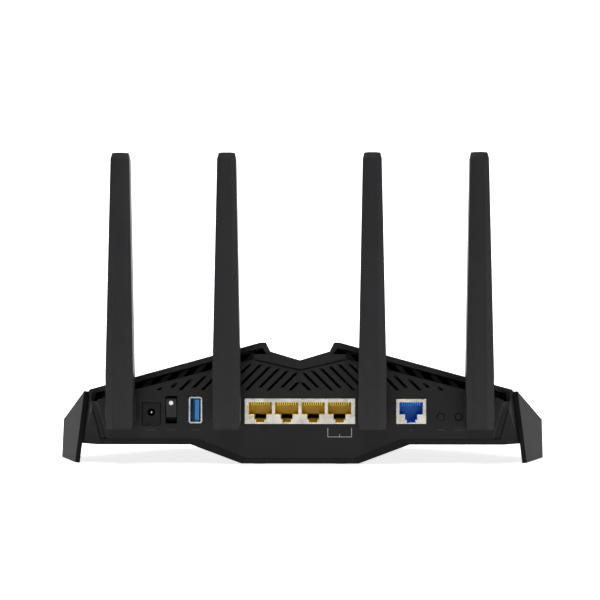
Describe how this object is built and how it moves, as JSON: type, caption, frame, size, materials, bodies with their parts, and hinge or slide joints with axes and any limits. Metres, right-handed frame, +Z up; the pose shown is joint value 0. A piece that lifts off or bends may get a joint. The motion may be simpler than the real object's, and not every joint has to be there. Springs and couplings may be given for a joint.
{
  "type": "wireless router",
  "caption": "Desktop wireless router with upright tilting antennas, faceted casing on a central keel and side fins, and a rear panel of sockets, a power rocker and push buttons.",
  "frame": {"origin": "on the floor, under the middle of the whole router, antennas included", "axes": "+Z up, the sockets face +Y, the status lights face -Y, +X along the width"},
  "size_m": [0.2738, 0.1844, 0.1646],
  "materials": {
    "casing_plastic": "fine moulded texture",
    "cover_plastic": "fine moulded texture",
    "grille_plastic": "plain moulded",
    "light_guide": "frosted translucent",
    "foot_rubber": "moulded",
    "screw_steel": "plated",
    "control_plastic": "satin moulded",
    "usb_blue": "moulded",
    "contact_gold": "gold plated",
    "socket_metal": "nickel plated sheet",
    "insert_yellow": "moulded",
    "insert_blue": "moulded",
    "board_laminate": "solder mask",
    "chip_resin": "epoxy resin",
    "pad_rubber": "soft silicone",
    "heatsink_aluminium": "extruded",
    "antenna_plastic": "fine moulded texture",
    "aerial_laminate": "solder mask",
    "pin_steel": "ground"
  },
  "bodies": {
    "casing": {"base_tray": "casing_plastic", "rear_panel": "casing_plastic", "centre_spine": "casing_plastic", "front_bezel": "casing_plastic", "side_fin_left": "casing_plastic", "side_fin_right": "casing_plastic", "wing_cover_left": "cover_plastic", "wing_cover_right": "cover_plastic", "grille_left": "grille_plastic", "grille_right": "grille_plastic", "switch_housing": "grille_plastic", "dc_jack": "grille_plastic", "tact_switches": "grille_plastic", "light_guide": "light_guide", "status_leds": "light_guide", "rubber_feet": "foot_rubber", "case_screws": "screw_steel", "board_screws": "screw_steel", "dc_pin": "screw_steel", "usb_shell": "screw_steel", "usb_tongue": "usb_blue", "usb_contacts": "contact_gold", "lan_contacts": "contact_gold", "wan_contacts": "contact_gold", "lan_shield": "socket_metal", "wan_shield": "socket_metal", "shield_cans": "socket_metal", "lan_inserts": "insert_yellow", "wan_insert": "insert_blue", "main_board": "board_laminate", "processor_chip": "chip_resin", "magnetics": "chip_resin", "thermal_pad": "pad_rubber", "heatsink": "heatsink_aluminium", "capacitors": "heatsink_aluminium", "antenna_1_bracket": "antenna_plastic", "antenna_2_bracket": "antenna_plastic", "antenna_3_bracket": "antenna_plastic", "antenna_4_bracket": "antenna_plastic"},
    "rocker": {"power_rocker": "control_plastic"},
    "wps_key": {"wps_button": "control_plastic"},
    "reset_key": {"reset_button": "control_plastic"},
    "antenna_1": {"antenna_1_shell": "antenna_plastic", "antenna_1_cover": "antenna_plastic", "antenna_1_board": "aerial_laminate", "antenna_1_pin": "pin_steel"},
    "antenna_2": {"antenna_2_shell": "antenna_plastic", "antenna_2_cover": "antenna_plastic", "antenna_2_board": "aerial_laminate", "antenna_2_pin": "pin_steel"},
    "antenna_3": {"antenna_3_shell": "antenna_plastic", "antenna_3_cover": "antenna_plastic", "antenna_3_board": "aerial_laminate", "antenna_3_pin": "pin_steel"},
    "antenna_4": {"antenna_4_shell": "antenna_plastic", "antenna_4_cover": "antenna_plastic", "antenna_4_board": "aerial_laminate", "antenna_4_pin": "pin_steel"}
  },
  "joints": [
    {"name": "antenna_1_tilt", "type": "hinge", "parent": "casing", "child": "antenna_1", "pos_m": [0.0942, 0.086, 0.0294], "axis": [-1, 0, 0], "range_deg": [0, 90]},
    {"name": "antenna_2_tilt", "type": "hinge", "parent": "casing", "child": "antenna_2", "pos_m": [0.0382, 0.086, 0.0294], "axis": [-1, 0, 0], "range_deg": [0, 90]},
    {"name": "antenna_3_tilt", "type": "hinge", "parent": "casing", "child": "antenna_3", "pos_m": [-0.0382, 0.086, 0.0294], "axis": [-1, 0, 0], "range_deg": [0, 90]},
    {"name": "antenna_4_tilt", "type": "hinge", "parent": "casing", "child": "antenna_4", "pos_m": [-0.0942, 0.086, 0.0294], "axis": [-1, 0, 0], "range_deg": [0, 90]},
    {"name": "rocker_tilt", "type": "hinge", "parent": "casing", "child": "rocker", "pos_m": [0.0685, 0.071, 0.0292], "axis": [1, 0, 0], "range_deg": [0, 12]},
    {"name": "wps_press", "type": "slide", "parent": "casing", "child": "wps_key", "axis": [0, -1, 0], "range_m": [0, 0.0008], "stiffness_N_per_m": 500, "springref_m": -0.0006},
    {"name": "reset_press", "type": "slide", "parent": "casing", "child": "reset_key", "axis": [0, -1, 0], "range_m": [0, 0.0006], "stiffness_N_per_m": 500, "springref_m": -0.0006}
  ]
}
